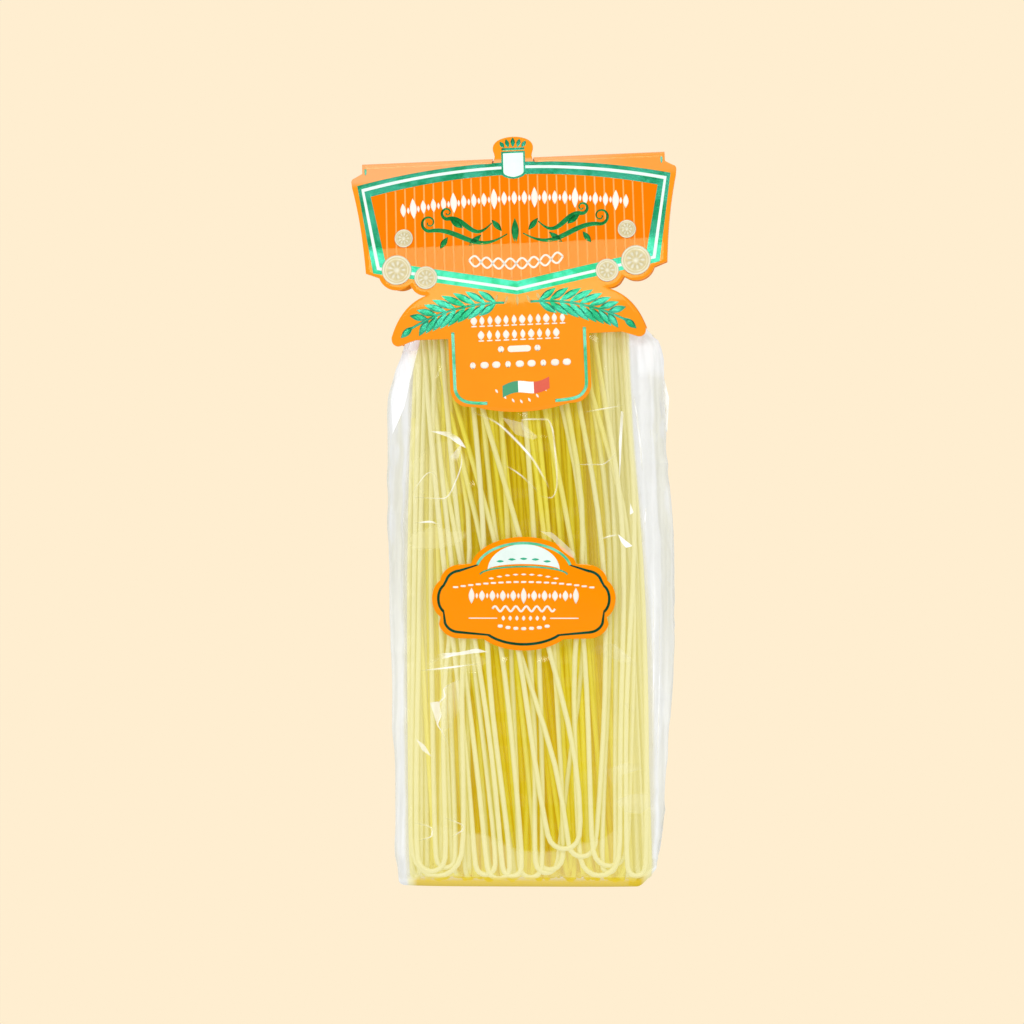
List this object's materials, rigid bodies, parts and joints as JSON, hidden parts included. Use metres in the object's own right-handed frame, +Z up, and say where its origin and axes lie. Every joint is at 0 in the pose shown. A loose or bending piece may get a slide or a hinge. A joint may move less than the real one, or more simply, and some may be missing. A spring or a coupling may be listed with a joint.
{
  "type": "bag of dry spaghetti",
  "caption": "Upright clear gusseted film bag of long hooked dry spaghetti, closed by a folded die-cut header card, with a small die-cut label on its front.",
  "frame": {"origin": "centre of the flat base that the bag stands on", "axes": "+Z up the pack, front with the label faces -Y, +X to the right seen from the front"},
  "size_m": [0.1254, 0.0464, 0.2887],
  "materials": {
    "pasta": "smooth dry pasta, pale yellow",
    "film": "clear crinkled packing film",
    "card": "coated orange card with green foil lines",
    "label": "coated orange paper with a green foil line",
    "foil": "green foil print with a fine crinkle",
    "ink": "pale opaque ink",
    "gold": "pale embossed gold discs"
  },
  "bodies": {
    "root": {"bag": "pasta", "header_card": "card", "front_label": "label"}
  },
  "joints": []
}
